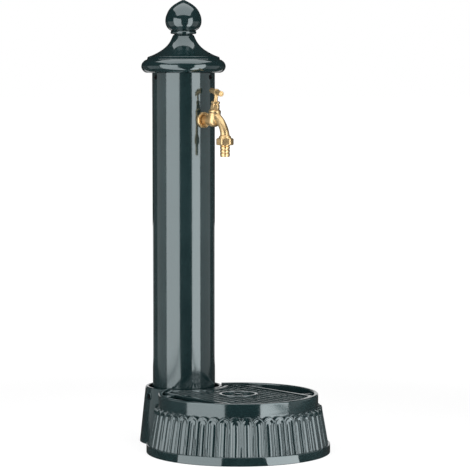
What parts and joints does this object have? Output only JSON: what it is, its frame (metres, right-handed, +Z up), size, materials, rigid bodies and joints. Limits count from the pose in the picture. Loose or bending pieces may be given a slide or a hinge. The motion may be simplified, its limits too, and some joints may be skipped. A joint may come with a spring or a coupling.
{
  "type": "garden standpipe",
  "caption": "Round garden standpipe with a bell cap and onion finial, a brass tap with a hose union, and a fluted cast basin with an ornamental grate",
  "frame": {"origin": "on the ground, at the middle of the anchor bolts' circle, which is the column's axis", "axes": "+Z up along the column, -Y towards the basin and the tap"},
  "size_m": [0.359, 0.4405, 0.8845],
  "materials": {
    "green_paint": "gloss",
    "screw_steel": "satin",
    "polished_brass": "polished",
    "seal_rubber": "matte",
    "saddle_plastic": "matte",
    "copper_pipe": "drawn copper"
  },
  "bodies": {
    "post": {"column_tube": "green_paint", "column_foot": "green_paint", "basin": "green_paint", "cap": "green_paint", "finial": "green_paint", "foot_screws": "screw_steel", "cap_screws": "screw_steel", "basin_screws": "screw_steel", "finial_stud": "screw_steel", "finial_nut": "screw_steel", "fitting_screws": "screw_steel", "waste_nut": "screw_steel", "wall_flange": "polished_brass", "tap_body": "polished_brass", "bonnet": "polished_brass", "gland_nut": "polished_brass", "elbow": "polished_brass", "extension_piece": "polished_brass", "inlet_fitting": "polished_brass", "riser_nuts": "polished_brass", "waste_body": "polished_brass", "waste_washer": "seal_rubber", "bonnet_washer": "seal_rubber", "gland_packing": "seal_rubber", "backing_saddle": "saddle_plastic", "riser_pipe": "copper_pipe"},
    "grate": {"grate": "green_paint"},
    "valve": {"jumper": "polished_brass", "jumper_washer": "seal_rubber", "jumper_nut": "polished_brass"},
    "spindle": {"spindle": "polished_brass", "tee_handle": "polished_brass", "handle_screw": "polished_brass"},
    "hose_tail": {"hose_tail": "polished_brass", "union_washer": "seal_rubber"},
    "union_nut": {"union_nut": "polished_brass"}
  },
  "joints": [
    {"name": "grate_lift", "type": "slide", "parent": "post", "child": "grate", "axis": [0, 0, 1], "range_m": [0, 0.06]},
    {"name": "valve_lift", "type": "slide", "parent": "post", "child": "valve", "axis": [0, -0.1392, 0.9903], "range_m": [0, 0.005]},
    {"name": "spindle_turn", "type": "hinge", "parent": "valve", "child": "spindle", "pos_m": [0, -0.097, 0.6455], "axis": [0, -0.1392, 0.9903], "range_deg": [0, 900]},
    {"name": "union_drop", "type": "slide", "parent": "post", "child": "hose_tail", "axis": [0, 0, -1], "range_m": [0, 0.00726]},
    {"name": "union_turn", "type": "hinge", "parent": "hose_tail", "child": "union_nut", "pos_m": [0, -0.131, 0.6455], "axis": [0, 0, -1], "range_deg": [0, 1440]}
  ],
  "couplings": [
    {"joint": "spindle_turn", "follows": "valve_lift", "rad_per_m": 3141.6},
    {"joint": "union_turn", "follows": "union_drop", "rad_per_m": 3463.7}
  ]
}
